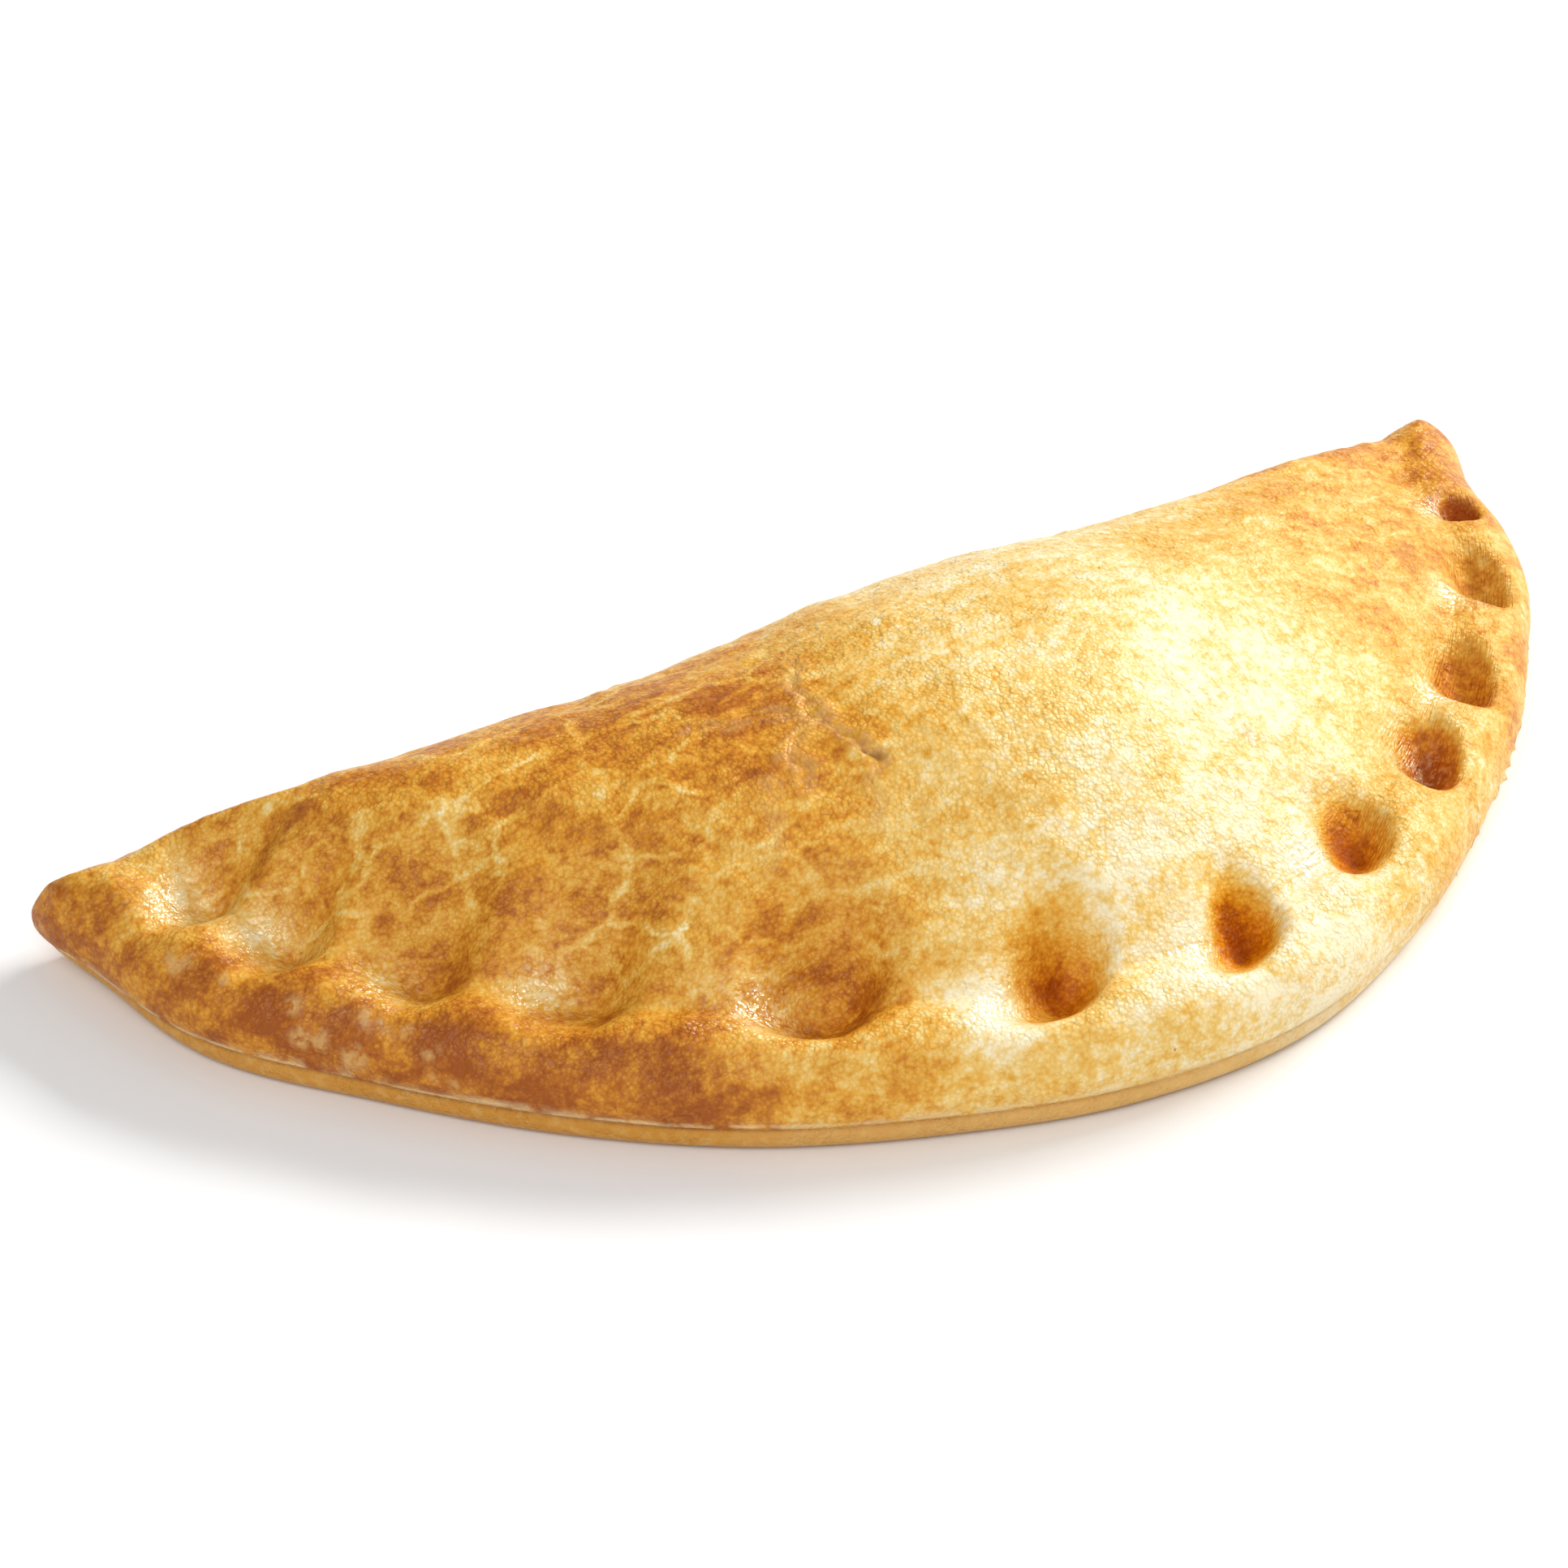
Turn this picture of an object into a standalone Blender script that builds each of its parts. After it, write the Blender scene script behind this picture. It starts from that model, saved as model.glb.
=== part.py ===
"""A baked half-moon turnover: one round of dough folded over a filling and sealed along its curved edge.

The fold lies along X at the back, the curved edge bows towards -Y with twelve thumb presses in it,
and the flat base rests on Z = 0 with the origin under the middle of the plan. Sizes are in millimetres.
"""

from math import cos, pi, radians, sin

import bmesh
import bpy
import numpy as np

MM = 0.001

# Curved edge: its distance from the middle of the fold, every EDGE_STEP degrees from the right tip leftwards.
EDGE_STEP = 15.0
EDGE_RADII = (69.4, 69.9, 66.8, 64.6, 64.1, 64.5, 62.9, 60.9, 60.6, 61.1, 63.1, 67.6, 68.4)

# Tips: how far each is drawn out, the radius of its corner, and how far its underside curls up.
RIGHT_TIP_PULL = 3.0
LEFT_TIP_PULL = 1.6
TIP_PULL_SPREAD = 4.5
RIGHT_CORNER = 3.5
LEFT_CORNER = 1.7
CORNER_REACH = 60.0
TIP_CURL = 3.2
TIP_CURL_REACH = 4.5

# Stations along the fold, every STATION_STEP from the left tip to the right tip: how far the fold bows from
# a straight line, how high the crown is and how far it lies from the fold, and how high the fold itself is.
STATION_START = -72.0
STATION_STEP = 12.0
FOLD_BOW = (2.4, 1.4, -1.1, -2.8, -3.5, -3.7, -3.2, -3.2, -2.8, -1.8, 0.2, 1.8, 4.5)
CROWN_HEIGHTS = (10.5, 18.1, 19.9, 21.3, 22.3, 23.7, 25.6, 25.5, 23.3, 20.2, 17.9, 16.4, 14.8)
CROWN_SETBACKS = (7.0, 13.0, 19.0, 24.0, 27.0, 29.0, 30.0, 30.0, 29.5, 27.0, 22.0, 15.0, 8.0)
FOLD_HEIGHTS = (4.5, 5.5, 6.3, 7.0, 7.0, 7.3, 7.6, 8.0, 8.0, 8.0, 7.8, 7.4, 7.0)

# Sealed rim: a rounded lip over a thin under-layer, with a shallow gutter between the lip and the filling.
BULGE_HEIGHT = 4.2
RIM_HEIGHT = 10.0
LIP_WIDTH = 5.6
GUTTER_INSET = 8.0
GUTTER_WIDTH = 3.0
GUTTER_DEPTH = 0.5
RISE_START = 7.0
RISE_LENGTH = 28.0
BLEND = 1.6
EDGE_WALL = ((1.9, 0.0), (1.1, 0.4), (0.75, 1.2), (0.8, 2.1), (1.0, 2.45), (0.5, 2.8), (0.1, 3.4), (0.0, 4.2))
FOLD_WALL = ((2.8, 0.0), (1.8, 0.4), (1.0, 1.2), (0.5, 2.1), (0.4, 2.45), (0.25, 2.8), (0.1, 3.4), (0.0, 4.2))

# Thumb presses: angle round the edge, inset of the deepest point, half-widths towards the edge, towards the
# dome and along the edge, how much longer the left end is, how far the bowl is turned, floor height and
# squareness. The side towards the dome is softer.
THUMB_PRESSES = (
    (12.0, 4.6, 1.9, 2.2, 2.4, -0.2, 0.0, 6.8, 1.9),
    (22.2, 4.7, 2.9, 2.8, 4.7, -0.3, 0.1, 6.4, 2.0),
    (35.6, 4.9, 3.0, 3.0, 4.9, -0.25, 0.1, 6.2, 2.0),
    (47.0, 5.2, 3.1, 3.2, 4.9, -0.15, 0.2, 6.0, 2.0),
    (60.2, 6.3, 3.4, 3.3, 5.0, 0.05, 0.2, 6.0, 1.9),
    (76.2, 6.7, 3.5, 2.9, 5.0, 0.25, 0.25, 6.0, 1.9),
    (93.2, 7.8, 3.9, 3.3, 5.9, 0.3, 0.2, 6.1, 1.9),
    (113.9, 8.6, 4.6, 4.1, 5.8, 0.2, 0.1, 6.4, 1.9),
    (135.0, 8.2, 5.6, 4.0, 6.2, 0.4, 0.1, 7.3, 1.8),
    (149.5, 7.6, 5.2, 4.2, 5.8, 0.38, 0.0, 7.0, 1.7),
    (161.5, 8.6, 6.6, 3.8, 5.2, 0.35, 0.0, 6.8, 1.6),
    (170.5, 9.2, 7.4, 3.8, 4.4, 0.35, 0.0, 6.7, 1.6),
)
DOME_SIDE_SOFTER = 0.35
PRESS_BLEND = 0.9

# Mesh density and finish.
EDGE_COLUMNS = 96
TIP_COLUMNS = 6
TIP_CROWDING = 0.55
LIP_ANGLES = (22.0, 42.0, 64.0, 90.0)
LIP_SHARE = 0.6
DOME_ROWS = 13
DOME_SPREAD = 1.3
SETTLING_ROUNDS = 30
MERGE_DISTANCE = 0.01
SHARP_ANGLE = 75.0
CRUST_COLOUR = (0.66, 0.37, 0.12, 1.0)
CRUST_ROUGHNESS = 0.42


def curve_through(values, place):
    """A smooth curve through evenly spaced values, read at a place counted in steps from the first."""
    values = np.asarray(values, float)
    slopes = np.gradient(values)
    place = np.clip(place, 0.0, len(values) - 1.0)
    left = np.minimum(place.astype(int), len(values) - 2)
    t = place - left
    rise = values[left + 1] - values[left]
    ease = t * t * (3.0 - 2.0 * t)
    return values[left] + rise * ease + t * (1.0 - t) * ((1.0 - t) * slopes[left] - t * slopes[left + 1])


def edge_radius(angle):
    """Distance of the curved edge from the middle of the fold, with both tips drawn out."""
    angle = np.clip(angle, 0.0, 180.0)
    right_pull = np.exp(-((angle / TIP_PULL_SPREAD) ** 2))
    left_pull = np.exp(-(((180.0 - angle) / TIP_PULL_SPREAD) ** 2))
    radius = curve_through(EDGE_RADII, angle / EDGE_STEP)
    return radius + RIGHT_TIP_PULL * right_pull + LEFT_TIP_PULL * left_pull


def along_fold(values, x):
    """A value given at the stations along the fold, read at x."""
    return curve_through(values, (np.asarray(x, float) - STATION_START) / STATION_STEP)


def plan_angle(x, y):
    """Angle round the curved edge, 0 at the right tip and 180 at the left tip."""
    angle = np.degrees(np.arctan2(-y, x))
    return np.where(angle < -90.0, angle + 360.0, angle)


def corner_round(x):
    """Radius of the outline's corner at the tip on x's side."""
    middle = (RIGHT_CORNER + LEFT_CORNER) / 2.0
    return middle + (RIGHT_CORNER - LEFT_CORNER) / 2.0 * np.clip(x / CORNER_REACH, -1.0, 1.0)


def press_bowls(x, y):
    """The height of every thumb's scoop over a point of the plan."""
    bowls = []
    for angle, inset, outer, inner, along, lean, skew, floor, square in THUMB_PRESSES:
        turn = radians(angle)
        leftward = -x * sin(turn) - y * cos(turn)
        outward = x * cos(turn) - y * sin(turn) + inset - edge_radius(np.array(angle)) - skew * leftward
        length = along * np.where(leftward > 0.0, 1.0 + lean, 1.0 - lean)
        wall = (np.maximum(outward, 0.0) / outer) ** square + np.abs(leftward / length) ** square
        wall += (np.maximum(-outward, 0.0) / inner) ** (square - DOME_SIDE_SOFTER)
        bowls.append(floor + (RIM_HEIGHT - floor) * wall)
    return np.array(bowls)


def pressed(height, x, y):
    """The height after every thumb has pushed its bowl into the dough."""
    total = np.exp(-height / PRESS_BLEND) + np.exp(-press_bowls(x, y) / PRESS_BLEND).sum(axis=0)
    return -PRESS_BLEND * np.log(total)


def top_height(x, y):
    """Height of the upper skin over a point of the plan."""
    from_edge = edge_radius(plan_angle(x, y)) - np.hypot(x, y)
    from_fold = along_fold(FOLD_BOW, x) - y
    crown = along_fold(CROWN_HEIGHTS, x)
    fold = along_fold(FOLD_HEIGHTS, x)

    # The fold side rounds over like a quarter ellipse, and the edge side swells from the rim to the crown.
    short_of_crown = np.clip(1.0 - np.maximum(from_fold, 0.0) / along_fold(CROWN_SETBACKS, x), 0.0, 1.0)
    fold_side = fold + (crown - fold) * np.sqrt(1.0 - short_of_crown**2)
    swell = np.sin(0.5 * pi * np.clip((from_edge - RISE_START) / RISE_LENGTH, 0.0, 1.0))
    gutter = GUTTER_DEPTH * np.exp(-(((from_edge - GUTTER_INSET) / GUTTER_WIDTH) ** 2))
    edge_side = RIM_HEIGHT - gutter + np.maximum(crown - RIM_HEIGHT, 0.0) * swell
    height = -BLEND * np.log(np.exp(-edge_side / BLEND) + np.exp(-fold_side / BLEND))
    height = pressed(height, x, y)

    # Everything ends in a rounded lip along the outline, tips included.
    corner = corner_round(x)
    edge_room = from_edge - corner
    fold_room = from_fold - corner
    within = np.minimum(edge_room, fold_room)
    beyond = -np.hypot(np.minimum(edge_room, 0.0), np.minimum(fold_room, 0.0))
    inside = corner + np.where(within > 0.0, within, beyond)
    lip = np.clip(1.0 - inside / LIP_WIDTH, 0.0, 1.0)
    return BULGE_HEIGHT + (height - BULGE_HEIGHT) * np.sqrt(1.0 - lip**2)


def tip_angle(start, corner):
    """Angle at which the inset edge meets the inset fold, near the tip at the given angle."""
    angle = start
    for _ in range(SETTLING_ROUNDS):
        reach = edge_radius(np.array(angle)) - corner
        turned = np.arcsin((corner - along_fold(FOLD_BOW, reach * np.cos(radians(angle)))) / reach)
        angle = abs(start - float(np.degrees(turned)))
    return angle


def plan_columns():
    """The outline's points and, for each, the point of the middle line that its column of faces runs to."""
    share = np.linspace(0.0, 1.0, EDGE_COLUMNS)
    share -= TIP_CROWDING * np.sin(2.0 * pi * share) / (2.0 * pi)
    right, left = tip_angle(0.0, RIGHT_CORNER), tip_angle(180.0, LEFT_CORNER)
    angles = right + (left - right) * share
    turn = np.radians(angles)
    outward = np.column_stack((np.cos(turn), -np.sin(turn)))
    radius = edge_radius(angles)
    reach = radius - corner_round(radius * outward[:, 0])

    # The middle line holds the centres of the circles that touch both the inset edge and the inset fold.
    middle = reach.copy()
    for _ in range(SETTLING_ROUNDS):
        fold = along_fold(FOLD_BOW, middle * outward[:, 0])
        middle[1:-1] = np.minimum((radius + fold) / (1.0 + np.sin(turn)), reach)[1:-1]
    spine = outward * middle[:, None]
    edge = outward * radius[:, None]
    fold = np.column_stack((spine[:, 0], along_fold(FOLD_BOW, spine[:, 0])))[::-1]

    def tip_fan(centre, corner, first, last):
        turns = np.radians(np.linspace(first, last, TIP_COLUMNS + 2)[1:-1])
        return centre + corner * np.column_stack((np.cos(turns), np.sin(turns)))

    left_fan = tip_fan(spine[-1], LEFT_CORNER, 360.0 - left, 90.0)
    right_fan = tip_fan(spine[0], RIGHT_CORNER, 90.0, -right)
    outline = np.vstack((edge, left_fan, fold, right_fan, edge[:1]))
    left_stay = np.repeat(spine[-1:], TIP_COLUMNS, axis=0)
    right_stay = np.repeat(spine[:1], TIP_COLUMNS, axis=0)
    targets = np.vstack((spine, left_stay, spine[::-1], right_stay, spine[:1]))
    on_edge = np.zeros(len(outline))
    on_edge[:EDGE_COLUMNS] = 1.0
    on_edge[-1] = 1.0
    fade = np.linspace(1.0, 0.0, TIP_COLUMNS + 2)[1:-1]
    on_edge[EDGE_COLUMNS : EDGE_COLUMNS + TIP_COLUMNS] = fade
    on_edge[-1 - TIP_COLUMNS : -1] = fade[::-1]
    return outline, targets, on_edge


def turnover_surface():
    """Rows of points from the foot of the wall, over the lip and up to the middle line."""
    outline, targets, on_edge = plan_columns()
    length = np.hypot(*(targets - outline).T)
    inward = (targets - outline) / length[:, None]
    reach = np.abs(outline[:, 0])
    near_tip = np.exp(-(((reach.max() - reach) / TIP_CURL_REACH) ** 2))
    rows = []
    for (edge_inset, height), (fold_inset, _) in zip(EDGE_WALL, FOLD_WALL):
        curl = TIP_CURL * (1.0 - height / BULGE_HEIGHT) ** 3
        inset = fold_inset + (edge_inset - fold_inset) * on_edge
        foot = outline + inward * inset[:, None]
        foot[:, 0] -= curl * near_tip * np.sign(foot[:, 0])
        rows.append(np.column_stack((foot, np.full(len(foot), height))))
    lip = np.minimum(LIP_WIDTH, LIP_SHARE * length)
    depths = [lip * (1.0 - np.cos(radians(angle))) for angle in LIP_ANGLES]
    for row in range(1, DOME_ROWS + 1):
        depths.append(lip + (length - lip) * (row / DOME_ROWS) ** DOME_SPREAD)
    for depth in depths:
        plan = outline + inward * depth[:, None]
        rows.append(np.column_stack((plan, top_height(plan[:, 0], plan[:, 1]))))
    return np.array(rows)


def centred(surface):
    """The surface with the middle of its plan over the origin."""
    flat = surface.reshape(-1, 3)
    middle = (flat.min(axis=0) + flat.max(axis=0)) / 2.0
    return surface - (middle[0], middle[1], 0.0)


def build_turnover(material):
    surface = centred(turnover_surface()) * MM
    row_count, column_count = surface.shape[:2]
    crust = bmesh.new()
    bmesh.ops.create_grid(crust, x_segments=column_count - 1, y_segments=row_count - 1, size=0.5)
    for vertex in crust.verts:
        column = round((vertex.co.x + 0.5) * (column_count - 1))
        row = round((vertex.co.y + 0.5) * (row_count - 1))
        vertex.co = surface[row, column]
    bmesh.ops.remove_doubles(crust, verts=crust.verts, dist=MERGE_DISTANCE * MM)
    bmesh.ops.holes_fill(crust, edges=[edge for edge in crust.edges if edge.is_boundary], sides=0)
    bmesh.ops.recalc_face_normals(crust, faces=crust.faces)
    mesh = bpy.data.meshes.new("empanada")
    crust.to_mesh(mesh)
    crust.free()
    mesh.shade_smooth()
    mesh.set_sharp_from_angle(angle=radians(SHARP_ANGLE))
    mesh.materials.append(material)
    turnover = bpy.data.objects.new("empanada", mesh)
    bpy.context.scene.collection.objects.link(turnover)


def baked_crust():
    material = bpy.data.materials.new("baked crust")
    material.use_nodes = True
    shader = material.node_tree.nodes["Principled BSDF"]
    shader.inputs["Base Color"].default_value = CRUST_COLOUR
    shader.inputs["Roughness"].default_value = CRUST_ROUGHNESS
    shader.inputs["Metallic"].default_value = 0.0
    return material


for leftover in list(bpy.data.objects):
    bpy.data.objects.remove(leftover)
build_turnover(baked_crust())
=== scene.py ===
from math import cos, pi, radians, sin

import bmesh
import bpy
import numpy as np
from mathutils import Matrix, Vector, noise


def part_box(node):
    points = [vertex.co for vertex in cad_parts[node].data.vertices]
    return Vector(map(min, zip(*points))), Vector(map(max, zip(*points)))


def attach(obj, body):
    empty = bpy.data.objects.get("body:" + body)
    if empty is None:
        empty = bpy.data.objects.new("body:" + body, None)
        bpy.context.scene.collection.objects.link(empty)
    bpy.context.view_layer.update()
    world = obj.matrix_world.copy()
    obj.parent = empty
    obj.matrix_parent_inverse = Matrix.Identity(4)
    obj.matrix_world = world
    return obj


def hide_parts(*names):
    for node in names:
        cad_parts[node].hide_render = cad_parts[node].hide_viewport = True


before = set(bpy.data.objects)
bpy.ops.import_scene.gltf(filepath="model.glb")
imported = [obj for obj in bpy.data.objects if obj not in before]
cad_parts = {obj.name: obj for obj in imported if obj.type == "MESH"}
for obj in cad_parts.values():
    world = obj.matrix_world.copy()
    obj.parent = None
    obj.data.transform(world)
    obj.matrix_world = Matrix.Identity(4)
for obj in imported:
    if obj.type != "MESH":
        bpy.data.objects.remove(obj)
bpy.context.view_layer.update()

MM = 0.001


# The dough. A round of short, lightly puffed dough is folded over a mound of filling, so it has a soft round
# fold at the back, a dome in the middle and two layers along the curved edge. A thumb seals that edge with
# twelve presses, and the tips are pinched to points that curl up from the tray.

# Curved edge: its distance from the middle of the fold, every EDGE_STEP degrees from the right tip to the
# left one. EDGE_RADII, FOLD_BOW and CROWN_HEIGHTS come from a least-squares fit to the outline in the
# reference picture.
EDGE_STEP = 15.0
EDGE_RADII = (69.4, 69.9, 66.8, 64.6, 64.1, 64.5, 62.9, 60.9, 60.6, 61.1, 63.1, 67.6, 68.4)
RIGHT_TIP_PULL = 3.0
LEFT_TIP_PULL = 1.6
TIP_PULL_SPREAD = 4.5
RIGHT_CORNER = 3.5
LEFT_CORNER = 1.7
CORNER_REACH = 60.0
TIP_CURL = 3.2
TIP_CURL_REACH = 4.5

# Stations along the fold, every STATION_STEP from the left tip to the right tip.
STATION_START = -72.0
STATION_STEP = 12.0
FOLD_BOW = (2.4, 1.4, -1.1, -2.8, -3.5, -3.7, -3.2, -3.2, -2.8, -1.8, 0.2, 1.8, 4.5)
CROWN_HEIGHTS = (10.5, 18.1, 19.9, 21.3, 22.3, 23.7, 25.6, 25.5, 23.3, 20.2, 17.9, 16.4, 14.8)
CROWN_SETBACKS = (7.0, 13.0, 19.0, 24.0, 27.0, 29.0, 30.0, 30.0, 29.5, 27.0, 22.0, 15.0, 8.0)
FOLD_HEIGHTS = (4.5, 5.5, 6.3, 7.0, 7.0, 7.3, 7.6, 8.0, 8.0, 8.0, 7.8, 7.4, 7.0)

BULGE_HEIGHT = 4.2
RIM_HEIGHT = 10.0
LIP_WIDTH = 5.6
GUTTER_INSET = 8.0
GUTTER_WIDTH = 3.0
GUTTER_DEPTH = 0.5
RISE_START = 7.0
RISE_LENGTH = 28.0
BLEND = 1.6

# Wall from the floor up to the bulge: inset at the curved edge, inset at the fold, height. The notch is the
# seam.
WALL = (
    (1.9, 2.8, 0.0),
    (1.4, 2.2, 0.15),
    (1.1, 1.8, 0.4),
    (0.85, 1.3, 0.8),
    (0.75, 1.0, 1.2),
    (0.74, 0.7, 1.65),
    (0.8, 0.5, 2.1),
    (1.0, 0.42, 2.35),
    (1.1, 0.4, 2.48),
    (0.78, 0.36, 2.62),
    (0.42, 0.25, 2.85),
    (0.22, 0.16, 3.15),
    (0.1, 0.1, 3.5),
    (0.0, 0.0, 4.2),
)

# Thumb presses: angle round the edge, inset of the deepest point, half-widths towards the edge, towards the
# dome and along the edge, how much longer the left end is, how far the bowl is turned, floor height and
# squareness.
THUMB_PRESSES = (
    (12.0, 4.6, 1.9, 2.2, 2.4, -0.2, 0.0, 6.8, 1.9),
    (22.2, 4.7, 2.9, 2.8, 4.7, -0.3, 0.1, 6.4, 2.0),
    (35.6, 4.9, 3.0, 3.0, 4.9, -0.25, 0.1, 6.2, 2.0),
    (47.0, 5.2, 3.1, 3.2, 4.9, -0.15, 0.2, 6.0, 2.0),
    (60.2, 6.3, 3.4, 3.3, 5.0, 0.05, 0.2, 6.0, 1.9),
    (76.2, 6.7, 3.5, 2.9, 5.0, 0.25, 0.25, 6.0, 1.9),
    (93.2, 7.8, 3.9, 3.3, 5.9, 0.3, 0.2, 6.1, 1.9),
    (113.9, 8.6, 4.6, 4.1, 5.8, 0.2, 0.1, 6.4, 1.9),
    (135.0, 8.2, 5.6, 4.0, 6.2, 0.4, 0.1, 7.3, 1.8),
    (149.5, 7.6, 5.2, 4.2, 5.8, 0.38, 0.0, 7.0, 1.7),
    (161.5, 8.6, 6.6, 3.8, 5.2, 0.35, 0.0, 6.8, 1.6),
    (170.5, 9.2, 7.4, 3.8, 4.4, 0.35, 0.0, 6.7, 1.6),
)
DOME_SIDE_SOFTER = 0.35
PRESS_BLEND = 0.9

EDGE_COLUMNS = 380
TIP_COLUMNS = 16
TIP_CROWDING = 0.55
LIP_ROWS = 14
LIP_SHARE = 0.6
DOME_ROWS = 86
DOME_SPREAD = 1.15
BASE_ROWS = 3
BASE_MIDDLE_SHARE = 0.97
SETTLING_ROUNDS = 30


def curve_through(values, place):
    """A smooth curve through evenly spaced values, read at a place counted in steps from the first."""
    values = np.asarray(values, float)
    slopes = np.gradient(values)
    place = np.clip(place, 0.0, len(values) - 1.0)
    left = np.minimum(place.astype(int), len(values) - 2)
    t = place - left
    rise = values[left + 1] - values[left]
    ease = t * t * (3.0 - 2.0 * t)
    return values[left] + rise * ease + t * (1.0 - t) * ((1.0 - t) * slopes[left] - t * slopes[left + 1])


def edge_radius(angle):
    angle = np.clip(angle, 0.0, 180.0)
    right_pull = np.exp(-((angle / TIP_PULL_SPREAD) ** 2))
    left_pull = np.exp(-(((180.0 - angle) / TIP_PULL_SPREAD) ** 2))
    radius = curve_through(EDGE_RADII, angle / EDGE_STEP)
    return radius + RIGHT_TIP_PULL * right_pull + LEFT_TIP_PULL * left_pull


def along_fold(values, x):
    return curve_through(values, (np.asarray(x, float) - STATION_START) / STATION_STEP)


def plan_angle(x, y):
    angle = np.degrees(np.arctan2(-y, x))
    return np.where(angle < -90.0, angle + 360.0, angle)


def corner_round(x):
    middle = (RIGHT_CORNER + LEFT_CORNER) / 2.0
    return middle + (RIGHT_CORNER - LEFT_CORNER) / 2.0 * np.clip(x / CORNER_REACH, -1.0, 1.0)


def press_bowls(x, y):
    """The height of every thumb's scoop over a point of the plan."""
    bowls = []
    for angle, inset, outer, inner, along, lean, skew, floor, square in THUMB_PRESSES:
        turn = radians(angle)
        leftward = -x * sin(turn) - y * cos(turn)
        outward = x * cos(turn) - y * sin(turn) + inset - edge_radius(np.array(angle)) - skew * leftward
        length = along * np.where(leftward > 0.0, 1.0 + lean, 1.0 - lean)
        wall = (np.maximum(outward, 0.0) / outer) ** square + np.abs(leftward / length) ** square
        wall += (np.maximum(-outward, 0.0) / inner) ** (square - DOME_SIDE_SOFTER)
        bowls.append(floor + (RIM_HEIGHT - floor) * wall)
    return np.array(bowls)


def dome_height(x, y):
    """Height of the filled dome and its rim over a point of the plan, before the thumbs and the lip."""
    from_edge = edge_radius(plan_angle(x, y)) - np.hypot(x, y)
    from_fold = along_fold(FOLD_BOW, x) - y
    crown = along_fold(CROWN_HEIGHTS, x)
    fold = along_fold(FOLD_HEIGHTS, x)
    short_of_crown = np.clip(1.0 - np.maximum(from_fold, 0.0) / along_fold(CROWN_SETBACKS, x), 0.0, 1.0)
    fold_side = fold + (crown - fold) * np.sqrt(1.0 - short_of_crown**2)
    swell = np.sin(0.5 * pi * np.clip((from_edge - RISE_START) / RISE_LENGTH, 0.0, 1.0))
    gutter = GUTTER_DEPTH * np.exp(-(((from_edge - GUTTER_INSET) / GUTTER_WIDTH) ** 2))
    edge_side = RIM_HEIGHT - gutter + np.maximum(crown - RIM_HEIGHT, 0.0) * swell
    return -BLEND * np.log(np.exp(-edge_side / BLEND) + np.exp(-fold_side / BLEND))


def pressed(height, x, y):
    total = np.exp(-height / PRESS_BLEND) + np.exp(-press_bowls(x, y) / PRESS_BLEND).sum(axis=0)
    return -PRESS_BLEND * np.log(total)


def top_height(x, y):
    """Height of the upper skin over a point of the plan."""
    from_edge = edge_radius(plan_angle(x, y)) - np.hypot(x, y)
    from_fold = along_fold(FOLD_BOW, x) - y
    height = pressed(dome_height(x, y), x, y)
    corner = corner_round(x)
    edge_room = from_edge - corner
    fold_room = from_fold - corner
    within = np.minimum(edge_room, fold_room)
    beyond = -np.hypot(np.minimum(edge_room, 0.0), np.minimum(fold_room, 0.0))
    inside = corner + np.where(within > 0.0, within, beyond)
    lip = np.clip(1.0 - inside / LIP_WIDTH, 0.0, 1.0)
    return BULGE_HEIGHT + (height - BULGE_HEIGHT) * np.sqrt(1.0 - lip**2)


def tip_angle(start, corner):
    """Angle at which the inset edge meets the inset fold, near the tip at the given angle."""
    angle = start
    for _ in range(SETTLING_ROUNDS):
        reach = edge_radius(np.array(angle)) - corner
        turned = np.arcsin((corner - along_fold(FOLD_BOW, reach * np.cos(radians(angle)))) / reach)
        angle = abs(start - float(np.degrees(turned)))
    return angle


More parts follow.
